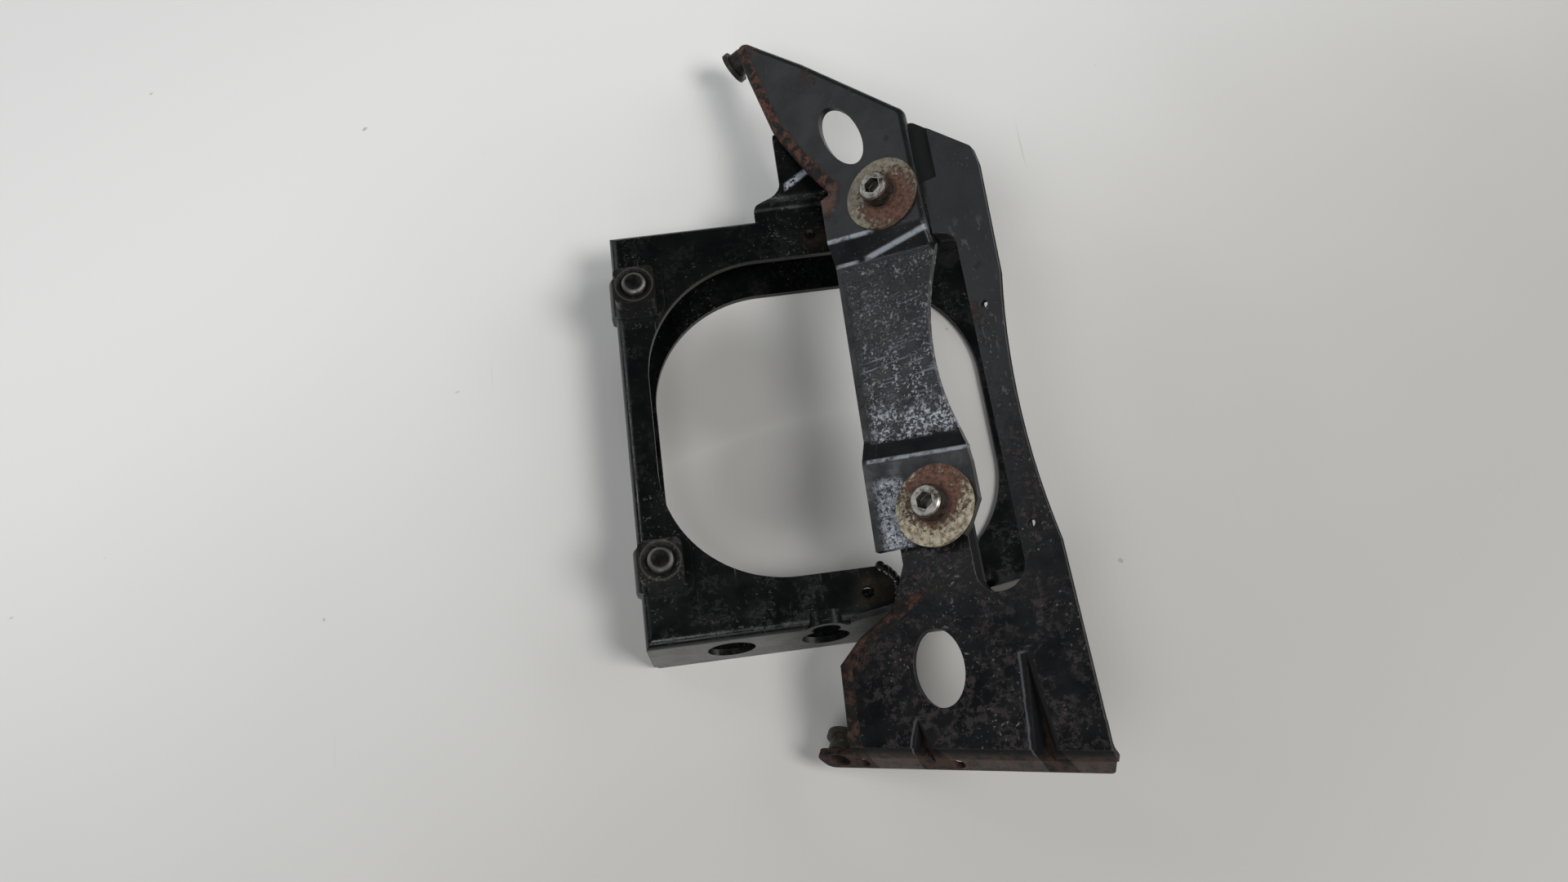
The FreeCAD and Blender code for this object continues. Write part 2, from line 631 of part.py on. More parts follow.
def cap_screw(x, y):
    """A socket head screw: head on the washer, shank through strap and rail."""
    head = rod(x, y, 0, SCREW_HEAD, SCREW_HEAD_HEIGHT)
    rims = [e for e in head.Edges if e.BoundBox.ZMin > SCREW_HEAD_HEIGHT - 0.1]
    head = head.makeChamfer(0.6, rims)
    depth = WASHER_SHEET + STRAP_SHEET + RAIL_SHEET + HEX_NUT_HEIGHT + 2
    shank = rod(x, y, -depth, SCREW, depth)
    socket = hexagon(x, y, SCREW_HEAD_HEIGHT - SCREW_SOCKET_DEPTH, SCREW_SOCKET, SCREW_SOCKET_DEPTH + 1)
    return head.fuse(shank).cut(socket)


def hex_nut(x, y):
    nut = hexagon(x, y, RAIL_BACK - HEX_NUT_HEIGHT, HEX_NUT, HEX_NUT_HEIGHT)
    return nut.cut(rod(x, y, RAIL_BACK - HEX_NUT_HEIGHT - 1, SCREW, HEX_NUT_HEIGHT + 2))


def edge_nut(frame):
    """A round nut with a collar at its outer end, standing on the XY plane of a given frame."""
    body = rod(0, 0, 0, EDGE_NUT, EDGE_NUT_HEIGHT)
    collar = rod(0, 0, EDGE_NUT_HEIGHT - EDGE_NUT_COLLAR_SHEET, EDGE_NUT_COLLAR, EDGE_NUT_COLLAR_SHEET)
    nut = body.fuse(collar).cut(rod(0, 0, -1, EDGE_NUT_BORE, EDGE_NUT_HEIGHT + 2))
    nut.Placement = frame
    return nut


def arm_nut_frame():
    """The place of the nut on the outer face of the arm's turned-down edge, near the tip."""
    a, b = arm_side()[-2:]
    middle = a + (b - a) * ARM_NUT_SPOT
    along = (b - a).normalize()
    out = V(-along.y, along.x, 0)
    turn = FreeCAD.Rotation(along, V(0, 0, 1).cross(out).cross(out), out, "ZXY")
    return FreeCAD.Placement(V(middle.x, middle.y, STRAP_TOP - EDGE_NUT_DROP), turn)


def ear_nut_frame():
    """The place of the nut on the inner face of the end flange's ear."""
    spot = FreeCAD.Placement(V(EAR_NUT_SPOT[0], EAR_NUT_SPOT[1], RAIL_SHEET), FreeCAD.Rotation())
    return flange_frame().multiply(spot)


def pad(y):
    """The thin plate under a square nut, with a tab wrapped over the frame's left edge."""
    half = PAD_SIZE / 2
    left = -FRAME_LEFT - PAD_SHEET
    top = FACE + PAD_SHEET
    turn = FreeCAD.Rotation(V(1, 0, 0), V(0, 0, 1), V(0, -1, 0), "XYZ")
    path = [(left, top - PAD_DROP), (left, top), (left + PAD_SIZE, top)]
    strip = bent_sheet(path, PAD_SHEET, FRAME_BEND, PAD_SIZE, FreeCAD.Placement(V(0, y + half, 0), turn))
    tab = half - 3.5
    corners = [(left - 1, y - tab), (left + 5, y - half), (left + PAD_SIZE, y - half)]
    corners += [(left + PAD_SIZE, y + half), (left + 5, y + half), (left - 1, y + tab)]
    strip = strip.common(plate(corners, [0, 2, PAD_CORNER, PAD_CORNER, 2, 0], 0, FACE + 10))
    return strip.cut(rod(STUD_X, y, FACE - 1, STUD, PAD_SHEET + 2))


def square_nut(y):
    half = SQUARE_NUT / 2
    low = FACE + PAD_SHEET
    corners = [(STUD_X - half, y - half), (STUD_X + half, y - half)]
    corners += [(STUD_X + half, y + half), (STUD_X - half, y + half)]
    nut = plate(corners, SQUARE_NUT_CORNER, low, low + SQUARE_NUT_HEIGHT)
    return nut.cut(rod(STUD_X, y, low - 1, STUD, SQUARE_NUT_HEIGHT + 2))


def stud(y):
    low = FACE - SHEET - STUD_BELOW
    body = rod(STUD_X, y, low, STUD, STUD_BELOW + SHEET + PAD_SHEET + STUD_OUT)
    rims = [e for e in body.Edges if len(e.Vertexes) == 1 and e.Length > 1 and e.BoundBox.ZLength < 0.01]
    return body.makeChamfer(0.7, rims)


def save(name, shape):
    shape.translate(V((FRAME_LEFT + WINDOW_LEFT) / 2, 0, 0))
    print(name, shape.isValid(), len(shape.Solids), round(shape.Volume, 1))
    shape.exportStep(f"parts/{name}.step")


def main():
    channel = channel_frame()
    save("channel_frame", channel)
    save("bottom_ring", bottom_ring())
    save("rail_plate", on_plate(rail_plate()).fuse(leg()).removeSplitter())
    save("cross_strap", on_plate(cross_strap()))
    save("arm_edge_nut", on_plate(edge_nut(arm_nut_frame()).cut(arm_prism(-40, 10))))
    save("flange_edge_nut", on_plate(edge_nut(ear_nut_frame())))
    for side, (x, y) in CLAMP_POINTS.items():
        save(f"{side}_washer", on_plate(washer(x, y)))
        save(f"{side}_cap_screw", on_plate(cap_screw(x, y)))
        save(f"{side}_hex_nut", on_plate(hex_nut(x, y)))
    for side, y in zip(("lower", "upper"), STUD_Y):
        save(f"{side}_nut_pad", pad(y))
        save(f"{side}_square_nut", square_nut(y))
        save(f"{side}_stud", stud(y))


main()
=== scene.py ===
# %% [markdown]
# # Grab bar bracket
# The bracket lies flat on a pale table: a black square channel frame, a sloping rail plate over its right
# side, and a joggled cross strap with an arm, held by two screws with large rusty washers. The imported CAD
# model gives every shape and place, so this lesson is about paint, rust, bare metal and light.

# %% Load the fixed frame
import bpy
import bmesh
import math
from collections import namedtuple
from mathutils import Matrix, Vector


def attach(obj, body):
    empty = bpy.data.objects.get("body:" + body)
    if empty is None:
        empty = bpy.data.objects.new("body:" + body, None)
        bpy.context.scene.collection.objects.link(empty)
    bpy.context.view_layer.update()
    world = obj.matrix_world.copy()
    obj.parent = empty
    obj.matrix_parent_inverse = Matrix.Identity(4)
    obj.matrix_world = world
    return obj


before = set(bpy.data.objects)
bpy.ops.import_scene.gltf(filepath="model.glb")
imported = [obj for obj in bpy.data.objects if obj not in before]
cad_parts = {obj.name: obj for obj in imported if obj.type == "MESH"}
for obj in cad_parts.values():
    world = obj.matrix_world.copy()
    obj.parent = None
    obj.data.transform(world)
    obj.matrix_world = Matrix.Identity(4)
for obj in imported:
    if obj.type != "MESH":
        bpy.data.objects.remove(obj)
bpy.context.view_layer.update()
MM = 0.001
print("nodes:", sorted(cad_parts))

# %% [markdown]
# The photograph is taken from above and a little from the near side, with a wide lens. A camera could be
# turned by hand until the picture looks right, but errors in its height and its lens hide each other. So
# its place and its axes come from matching known points, such as the washers and the window's corners.

# %% Camera
def place_camera(position, right, up, focal):
    """Puts a camera at a point with given right and up directions."""
    data = bpy.data.cameras.new("photo_camera")
    data.sensor_width = 36.0
    data.lens = focal
    data.clip_start = 0.01
    camera = bpy.data.objects.new("photo_camera", data)
    bpy.context.scene.collection.objects.link(camera)
    x, y = Vector(right).normalized(), Vector(up).normalized()
    z = x.cross(y).normalized()
    y = z.cross(x)
    matrix = Matrix((x, y, z)).transposed().to_4x4()
    matrix.translation = position
    camera.matrix_world = matrix
    bpy.context.scene.camera = camera
    return camera


camera = place_camera((0.0295, -0.1696, 0.3996), (0.99138, -0.13041, -0.01251),
                      (0.12486, 0.91152, 0.39181), 29.06)
print("camera at", [round(v, 3) for v in camera.matrix_world.translation])

# %% [markdown]
# Two soft windows, high on the right and high on the left, light the table and cast a pale shadow. A wide
# panel low on the right lifts the edges on that side, and a small window at the front picks out the near
# ones. The sloping plates face left, so a weak panel and a small lamp stand where they are mirrored and
# lift them from black to grey. The level frame mirrors only the dim room, so it stays nearly black.

# %% World and lamps
def soft_lamp(name, place, size, power, colour):
    """A square area lamp that looks at the middle of the bracket."""
    data = bpy.data.lights.new(name, "AREA")
    data.shape = "SQUARE"
    data.size = size
    data.energy = power
    data.color = colour
    lamp = bpy.data.objects.new(name, data)
    bpy.context.scene.collection.objects.link(lamp)
    direction = Vector((0.06, 0.02, 0.0)) - Vector(place)
    lamp.matrix_world = Matrix.Translation(place) @ direction.to_track_quat("-Z", "Y").to_matrix().to_4x4()


LAMPS = (
    # name, place and size in metres, watts, colour
    ("key_window", (0.75, -0.45, 1.15), 0.5, 11.5, (1.0, 0.99, 0.97)),
    ("top_window", (-0.42, -0.62, 1.3), 0.6, 7.5, (0.98, 0.99, 1.0)),
    ("right_panel", (1.3, 0.35, 0.55), 1.1, 6.5, (0.96, 0.98, 1.0)),
    ("left_panel", (-0.82, 0.76, 0.66), 0.7, 1.25, (0.95, 0.97, 1.0)),
    ("left_lamp", (-0.88, 0.42, 0.61), 0.12, 0.5, (0.93, 0.96, 1.0)),
    ("front_window", (-0.15, -1.15, 0.8), 0.35, 1.0, (0.97, 0.98, 1.0)),
)
for lamp in LAMPS:
    soft_lamp(*lamp)

world = bpy.data.worlds.new("pale_room")
world.use_nodes = True
world.node_tree.nodes["Background"].inputs["Color"].default_value = (0.86, 0.9, 1.0, 1.0)
world.node_tree.nodes["Background"].inputs["Strength"].default_value = 0.06
bpy.context.scene.world = world
bpy.context.scene.view_settings.view_transform = "Standard"
print(len(LAMPS), "lamps and a dim world")

# %% [markdown]
# Every finish below is a small graph of nodes, and a few helpers keep each graph short. The first one adds
# a node and fills or links its inputs. The others are arithmetic, so that a formula reads as a line of
# code instead of a row of Math nodes.

# %% Nodes and arithmetic
def add(tree, kind, inputs=None, **settings):
    """Adds a node, sets its options, and fills or links its inputs."""
    node = tree.nodes.new(kind)
    for key, value in settings.items():
        setattr(node, key, value)
    for key, value in (inputs or {}).items():
        if isinstance(value, bpy.types.NodeSocket):
            tree.links.new(value, node.inputs[key])
        else:
            node.inputs[key].default_value = value
    return node


def calc(tree, operation, first, second=0.0):
    return add(tree, "ShaderNodeMath", {0: first, 1: second}, operation=operation).outputs[0]


def chain(tree, operation, values):
    """One operation over several values, from the first to the last."""
    result = values[0]
    for value in values[1:]:
        result = calc(tree, operation, result, value)
    return result


def times(tree, *values):
    return chain(tree, "MULTIPLY", values)


def plus(tree, *values):
    return chain(tree, "ADD", values)


def most(tree, *values):
    return chain(tree, "MAXIMUM", values)


def minus(tree, first, second):
    return calc(tree, "SUBTRACT", first, second)


def distance(tree, across, along):
    """The length of the line with these two offsets."""
    return calc(tree, "SQRT", plus(tree, times(tree, across, across), times(tree, along, along)))


print("helpers for nodes and arithmetic ready")

# %% [markdown]
# A mask is a value between 0 and 1 that says where something shows. Masks are multiplied to keep only
# what they share, and the most of several masks joins them. Places are given in millimetres, as on a
# drawing, while Blender's own coordinates are in metres.

# %% Masks
def mask(tree, value, low, high):
    """A smooth step from 0 at low to 1 at high."""
    ramp = add(tree, "ShaderNodeMapRange", {"Value": value, "From Min": low, "From Max": high})
    ramp.interpolation_type = "SMOOTHSTEP"
    return ramp.outputs["Result"]


def step(tree, length, low, high):
    """A mask on a length, with its two limits in millimetres."""
    return mask(tree, length, low * MM, high * MM)


def stripe(tree, length, centre, half):
    """A soft stripe where a length lies near a centre, both in millimetres."""
    return step(tree, calc(tree, "ABSOLUTE", minus(tree, length, centre * MM)), half, half * 0.3)


def spots(tree, x, y, places):
    """Soft round patches, each with a centre and a radius in millimetres."""
    patches = []
    for x0, y0, radius in places:
        apart = distance(tree, minus(tree, x, x0 * MM), minus(tree, y, y0 * MM))
        patches.append(step(tree, apart, radius, radius * 0.25))
    return most(tree, *patches)


print("helpers for masks ready")

# %% [markdown]
# Colours are mixed under a mask, one layer over another, as dirt and rust lie over paint. Noise gives the
# fine pattern. Coordinates are in metres, so noise of scale 1000 has a grain of about a millimetre.

# %% Colours and noise
def blend(tree, amount, below, above):
    mixer = add(tree, "ShaderNodeMix", data_type="RGBA")
    for socket, value in ((mixer.inputs[0], amount), (mixer.inputs[6], below), (mixer.inputs[7], above)):
        if isinstance(value, bpy.types.NodeSocket):
            tree.links.new(value, socket)
        else:
            socket.default_value = value if isinstance(value, float) else (*value, 1.0)
    return mixer.outputs[2]


def lay(tree, colour, cover, share, tint):
    """The colour with a share of a tint laid over it where a mask covers it."""
    return blend(tree, times(tree, cover, share), colour, tint)


def grain(tree, coords, scale, detail=4.0, rough=0.55):
    inputs = {"Vector": coords, "Scale": scale, "Detail": detail, "Roughness": rough}
    return add(tree, "ShaderNodeTexNoise", inputs).outputs["Fac"]


def flecks(tree, coords, scale, low, high, detail=4.0, rough=0.55):
    """Patches where noise of one scale rises from low to high."""
    return mask(tree, grain(tree, coords, scale, detail, rough), low, high)


def scratches(tree, coords, turn, stretch, low, high):
    """Thin straight marks: noise stretched along one direction."""
    inputs = {"Vector": coords, "Rotation": (0.0, 0.0, turn), "Scale": stretch}
    lines = add(tree, "ShaderNodeMapping", inputs).outputs["Vector"]
    return flecks(tree, lines, 1.0, low, high, 2.0, 0.6)


print("helpers for colours and noise ready")

# %% [markdown]
# The rail plate and the strap lean by 32.6 degrees. In their own flat frame, U runs across the slope, V
# along it and W out of it, so rust and brushed marks can be placed by the same sizes as the pressings'
# outlines. A Mapping node of the Texture type gives these coordinates. The strap's joggles aren't square to
# it: their lines climb by 10 degrees.

# %% The slope's flat frame
SLOPE = math.radians(32.6)
SLOPE_PLACE = (0.0854, -0.073, 0.050)
SLOPE_TURN = (0.0, -SLOPE, 0.0)
SLOPE_MATRIX = Matrix.Translation(SLOPE_PLACE) @ Matrix.Rotation(-SLOPE, 4, "Y")
JOGGLE_SLANT = math.tan(math.radians(10.0))


def on_slope(u, v, w):
    """A point of the sloping plate, in metres, from sizes in millimetres."""
    return SLOPE_MATRIX @ Vector((u * MM, v * MM, w * MM))


def object_coords(tree):
    return add(tree, "ShaderNodeTexCoord").outputs["Object"]


def flat_coords(tree, place, turn):
    """Object coordinates moved and turned into the flat frame of a piece."""
    inputs = {"Vector": object_coords(tree), "Location": place, "Rotation": turn}
    return add(tree, "ShaderNodeMapping", inputs, vector_type="TEXTURE").outputs["Vector"]


def parts_of(tree, vector):
    split = add(tree, "ShaderNodeSeparateXYZ", {0: vector})
    return split.outputs[0], split.outputs[1], split.outputs[2]


def edge_band(tree, u, v, points, width):
    """A band inside an outward-bulging edge, from its corner points in millimetres."""
    nearest = None
    for (x0, y0), (x1, y1) in zip(points[:-1], points[1:]):
        length = math.hypot(x1 - x0, y1 - y0)
        nx, ny = -(y1 - y0) / length, (x1 - x0) / length
        across = plus(tree, times(tree, u, nx), times(tree, v, ny))
        beyond = minus(tree, across, (nx * x0 + ny * y0) * MM)
        nearest = beyond if nearest is None else most(tree, nearest, beyond)
    return step(tree, nearest, -width, -width * 0.75)


print("slope's origin", [round(value, 4) for value in on_slope(0, 0, 0)])

# %% [markdown]
# Every finish starts and ends alike: a Principled shader with its gloss, then a colour, a roughness and a
# height that a Bump node turns into fine relief. A Bevel node finds the edges, because it gives a rounded
# normal that differs from the true one there.

# %% Start and end of a finish
def start_paint(name, gloss, specular):
    material = bpy.data.materials.new(name)
    material.use_nodes = True
    shader = material.node_tree.nodes["Principled BSDF"]
    shader.inputs["Roughness"].default_value = gloss
    shader.inputs["Specular IOR Level"].default_value = specular
    return material, material.node_tree, shader


def finish_paint(tree, shader, colour, roughness, height, depth):
    for value, socket in ((colour, "Base Color"), (roughness, "Roughness")):
        tree.links.new(value, shader.inputs[socket])
    bump = add(tree, "ShaderNodeBump", {"Height": height, "Strength": 1.0, "Distance": depth})
    tree.links.new(bump.outputs["Normal"], shader.inputs["Normal"])


def rubbed_edges(tree, radius):
    """One where the surface turns sharply within a radius, in metres."""
    rounded = add(tree, "ShaderNodeBevel", {"Radius": radius}, samples=6).outputs["Normal"]
    true = add(tree, "ShaderNodeNewGeometry").outputs["True Normal"]
    dot = add(tree, "ShaderNodeVectorMath", {0: rounded, 1: true}, operation="DOT_PRODUCT").outputs["Value"]
    return minus(tree, 1.0, dot)


print("helpers for a finish ready")

# %% [markdown]
# Black paint on old pressed steel is never one black. It has a faint cast, fine orange-peel, dust caught in
# specks, thin scratches, rubbed edges where brown and bare metal show, and rust that lifts it in patches.
# One function lays all of this, so the black pieces differ only in how much of each they have.

# %% Worn black paint
# A near black for the painted shade in recesses.
RECESS_SHADE_COLOUR = (0.002, 0.002, 0.0022)
WORN = (0.05, 0.038, 0.038)
DUST = (0.16, 0.155, 0.145)
SCRATCH = (0.16, 0.165, 0.17)
RUBBED = (0.12, 0.09, 0.065)
RUST_DARK = (0.018, 0.009, 0.007)
RUST_PALE = (0.098, 0.043, 0.027)
BAND_WIDTH = 5.2
Paint = namedtuple("Paint", "material tree shader coords slope u v w")


def black_paint(name, dark, pale, gloss, rust_amount, speck_amount, places=(), band=(), band_limit=(),
                band_tint=(0.125, 0.053, 0.034), patchy=0.0, patch_end=400.0, shade_in_recesses=0.0, specular=0.42):
    """The common finish of the pressings, with rusty places and a rusty band in the slope's flat frame."""
    material, tree, shader = start_paint(name, gloss, specular)
    coords = object_coords(tree)
    slope = flat_coords(tree, SLOPE_PLACE, SLOPE_TURN)
    u, v, w = parts_of(tree, slope)

    # The coat: two blacks in clouds, worn patches below a limit in V, dust and thin marks.
    cloud = grain(tree, coords, 38.0, 5.0, 0.6)
    fine = grain(tree, coords, 1500.0, 3.0, 0.6)
    colour = blend(tree, mask(tree, cloud, 0.35, 0.68), dark, pale)
    worn = times(tree, flecks(tree, coords, 430.0, 0.5, 0.56, 8.0, 0.78),
                 flecks(tree, coords, 85.0, 0.44, 0.56, 4.0, 0.65),
                 step(tree, v, patch_end, patch_end - 30.0), patchy)
    colour = blend(tree, worn, colour, WORN)
    dust = times(tree, flecks(tree, coords, 900.0, 0.64, 0.7, 2.0, 0.5),
                 flecks(tree, coords, 60.0, 0.45, 0.62))
    colour = lay(tree, colour, dust, speck_amount, DUST)
    marks = times(tree, scratches(tree, slope, 0.5, (900.0, 40.0, 40.0), 0.68, 0.78),
                  flecks(tree, coords, 25.0, 0.5, 0.6))
    colour = lay(tree, colour, marks, 0.35, SCRATCH)

    # Rust: scattered, in the given places, and along the given edge, where black paint flakes off it.
    broken = flecks(tree, coords, 190.0, 0.44, 0.56, 6.0, 0.75)
    rust = times(tree, flecks(tree, coords, 90.0, 0.66, 0.74, 6.0, 0.65), rust_amount)
    brown = blend(tree, mask(tree, fine, 0.4, 0.62), RUST_DARK, RUST_PALE)
    if places:
        rust = most(tree, rust, times(tree, spots(tree, u, v, places), broken))
    if band:
        rust_and_shade_band = times(tree, edge_band(tree, u, v, band, BAND_WIDTH), step(tree, v, *band_limit))
        # Along the edge the colour is taken to a deeper black, a painted shade for the rounded bend, with
        # rust in flakes over it.
        colour = lay(tree, colour, rust_and_shade_band, 0.8, (0.003, 0.003, 0.003))
        rust = most(tree, rust, times(tree, rust_and_shade_band, flecks(tree, coords, 210.0, 0.48, 0.54, 7.0, 0.8)))
        brown = lay(tree, brown, rust_and_shade_band, 0.7, band_tint)
    colour = blend(tree, rust, colour, brown)

    # Painted shade below the face of a plate, in its shallow groove and other recesses, and edges rubbed down
    # to brown metal.
    recess_shade_mask = times(tree, step(tree, w, -4.3, -4.7), step(tree, w, -9.5, -9.0), shade_in_recesses)
    colour = blend(tree, recess_shade_mask, colour, RECESS_SHADE_COLOUR)
    edges = times(tree, mask(tree, rubbed_edges(tree, 0.0006), 0.05, 0.3), mask(tree, cloud, 0.38, 0.6),
                  plus(tree, 0.25, times(tree, broken, 0.5)))
    colour = lay(tree, colour, edges, 0.5, RUBBED)

    # Rust, the painted shade in recesses and the band are dull, and the coat's gloss varies a little.
    rough = plus(tree, gloss, times(tree, flecks(tree, coords, 120.0, 0.3, 0.75, 3.0), 0.16))
    rough = most(tree, rough, times(tree, rust, 0.8))
    rough = plus(tree, rough, times(tree, recess_shade_mask, 0.35))
    if band:
        rough = most(tree, rough, times(tree, rust_and_shade_band, 0.65))
    height = plus(tree, times(tree, fine, 0.07), times(tree, rust, 0.7),
                  times(tree, plus(tree, worn, dust), 0.5), times(tree, cloud, 1.4))
    finish_paint(tree, shader, colour, rough, height, 0.00022)
    return Paint(material, tree, shader, coords, slope, u, v, w)


print("black paint defined, with an edge band of", BAND_WIDTH, "mm")

# %% [markdown]
# The frame is the blackest piece. Two marks of the photo are laid over its paint: a broken bright streak on
# the tongue, where light catches the bend, and brown rust water round the holes of both lobes. They could
# be thin pieces of their own, but a mark without thickness belongs in the paint. The frame lies level, so
# both are placed by its plain X, Y and Z.

# %% Paint of the frame
TONGUE_CLIMB = 0.68
HALOS = ((66.0, -64.3, 8), (70.0, -62.5, 5), (66.5, 62.5, 7))


def feeding(socket):
    """The socket that feeds another one so far."""
    return socket.links[0].from_socket


def frame_marks(paint):
    """A painted highlight on the bend of the tongue, and brown round the small holes of the lobes."""
    tree, coords = paint.tree, paint.coords
    x, y, z = parts_of(tree, coords)
    # A painted highlight: a broken bright stripe where light catches the tongue's bend.
    climbing = minus(tree, y, times(tree, x, TONGUE_CLIMB))
    bend_highlight = times(tree, stripe(tree, climbing, 42.7, 2.1), step(tree, x, 57.5, 59.0),
                   step(tree, z, 28.5, 29.0), flecks(tree, coords, 620.0, 0.42, 0.5, 5.0, 0.75))
    halo = times(tree, spots(tree, x, y, HALOS), step(tree, z, 24.0, 25.0),
                 flecks(tree, coords, 150.0, 0.3, 0.6, 5.0, 0.7))
    colour = lay(tree, feeding(paint.shader.inputs["Base Color"]), bend_highlight, 0.85, (0.4, 0.43, 0.48))
    colour = lay(tree, colour, halo, 0.75, (0.024, 0.017, 0.0105))
    tree.links.new(colour, paint.shader.inputs["Base Color"])


frame_paint = black_paint("frame_paint", (0.0012, 0.0017, 0.0016), (0.0036, 0.0044, 0.0042), 0.18, 0.35, 0.2,
                          patchy=0.12)
frame_marks(frame_paint)
print("frame paint has", len(frame_paint.tree.nodes), "nodes")

# %% [markdown]
# The rail plate has a painted grey sheen along its top, and is black and patchy on its wide lower lobe. The
# real darts and slot are black inside. The lamps could be left to do that, but their soft light reaches into
# shapes this shallow, so the shade is laid in the paint, and each dart gets a painted highlight on its lip on
# one side.

# %% Paint of the rail plate
HIP_EDGE = [(-43.0, -36.3), (-42.0, -12.0), (-34.0, -5.5), (-20.0, 1.0)]
RAIL_RUST = [
    # centre and radius: the hip, the lobe, and a streak beside the pin hole
    (-35, -9, 8), (-27, -2, 4), (-41, -22, 5), (17, -27, 3), (27.5, 97, 2),
    (23, 84.5, 2.4), (23.6, 82, 2.4), (24.3, 79.5, 2.2), (25, 77, 2), (25.6, 75, 2.4), (19.4, 85, 2.4),
    (19.8, 80, 2),
]
RAIL_CHIPS = ((26, 108, 11), (27, 92, 8), (28, 74, 9), (27, 56, 6))
DARTS = (
    # centre line, top and half width there in millimetres, and how fast the dart widens
    (17.6, -22.5, 1.6, 0.085),
    (-18.4, -33.5, 0.4, 0.42),
)


def roughen(paint, cover, amount):
    """Adds roughness where a mask covers the paint."""
    socket = paint.shader.inputs["Roughness"]
    paint.tree.links.new(plus(paint.tree, feeding(socket), times(paint.tree, cover, amount)), socket)


def dart_shade(tree, u, v, middle, top, half_width, spread):
    """The painted shade inside a dart and the painted highlight on the lip of its left side."""
    depth = minus(tree, top * MM, v)
    beside = minus(tree, u, middle * MM)
    half = plus(tree, half_width * MM, times(tree, depth, spread))
    outside = most(tree, minus(tree, calc(tree, "ABSOLUTE", beside), half), times(tree, depth, -1.0))
    black = step(tree, outside, 0.3, -0.3)
    lip_highlight = times(tree, step(tree, outside, 0.8, 0.4), minus(tree, 1.0, black), step(tree, beside, 1.0, -1.0))
    return black, lip_highlight


def finish_rail(paint):
    """A painted grey sheen on the top, chips, painted shade in the darts and on the slot's walls, a painted
    highlight on each dart's lip, and the brown on the flange of the lower end.
    """
    tree, coords, u, v, w = paint.tree, paint.coords, paint.u, paint.v, paint.w
    colour = feeding(paint.shader.inputs["Base Color"])
    # A painted sheen: the colour turns grey towards the top of the plate.
    colour = lay(tree, colour, step(tree, v, 40.0, 90.0), 0.6, (0.024, 0.0247, 0.026))
    chips = times(tree, scratches(tree, paint.slope, 0.7, (520.0, 210.0, 210.0), 0.6, 0.64),
                  spots(tree, u, v, RAIL_CHIPS))
    colour = lay(tree, colour, chips, 0.8, (0.075, 0.066, 0.062))
    wavy = plus(tree, u, times(tree, grain(tree, coords, 160.0, 3.0), 1.2 * MM))
    for dart in DARTS:
        black, lip_highlight = dart_shade(tree, wavy, v, *dart)
        # Painted shade inside each dart and a painted highlight on its lip.
        colour = lay(tree, colour, black, 0.92, (0.0015, 0.0015, 0.0017))
        colour = lay(tree, colour, lip_highlight, 0.5, (0.14, 0.15, 0.165))
        roughen(paint, black, 0.4)
    # Painted shade on the walls of the slot.
    slot_wall_shade = times(tree, step(tree, w, -4.4, -5.2), step(tree, v, -12.0, -8.0), step(tree, u, -4.0, 1.0))
    colour = lay(tree, colour, slot_wall_shade, 0.95, (0.001, 0.001, 0.001))
    roughen(paint, slot_wall_shade, 0.35)
    flange = times(tree, step(tree, w, -6.0, -8.5), step(tree, v, -28.0, -34.0))
    colour = lay(tree, colour, flange, 0.75, (0.004, 0.0035, 0.003))
    brown = times(tree, flange, flecks(tree, coords, 300.0, 0.4, 0.56, 5.0, 0.7))
    colour = lay(tree, colour, brown, 0.7, (0.06, 0.03, 0.02))
    tree.links.new(colour, paint.shader.inputs["Base Color"])


rail_paint = black_paint("rail_paint", (0.003, 0.0034, 0.0038), (0.0075, 0.0077, 0.0082), 0.22, 0.5, 0.9,
                         RAIL_RUST, HIP_EDGE, (4.0, 1.0), (0.05, 0.027, 0.018), patchy=0.65, patch_end=55.0,
                         shade_in_recesses=0.9, specular=0.27)
finish_rail(rail_paint)
print("rail paint has", len(rail_paint.tree.nodes), "nodes")

# %% [markdown]
# The strap is the same pressing steel, but its sunken middle has lost its smooth coat: it is covered with
# pale, gritty blisters and fine marks across it. Their pale colour is partly painted glints, where light
# catches the glossy pits. The arm above is smooth, with a brown band and painted shade along the edge that is
# turned down. The blisters could be modelled, but there are thousands of them, so noise in the colour and in
# the relief stands for them. Masks on the joggles' slanted lines keep the finishes apart.

# %% Paint of the strap and arm
ARM_EDGE = [(-17.0, 143.5), (-24.7, 156.6), (-35.1, 177.6), (-41.8, 204.8), (-47.5, 229.5)]
ARM_RUST = [(-18, 141, 6), (-17, 144, 5), (-19, 194, 3.4), (-17, 190, 3), (-19, 136, 3), (-38, 220, 6),
            (8, 161, 1.2), (7, 154, 1.4)]
NOTCH_RUST = ((-18.5, 141, 5.5), (-17.0, 144, 4.0))
UPPER_BEND_FALL = 0.041


def slanted_length(paint):
    """The length along the strap, measured so that it stays the same on a joggle's bend."""
    return plus(paint.tree, paint.v, times(paint.tree, paint.u, JOGGLE_SLANT))


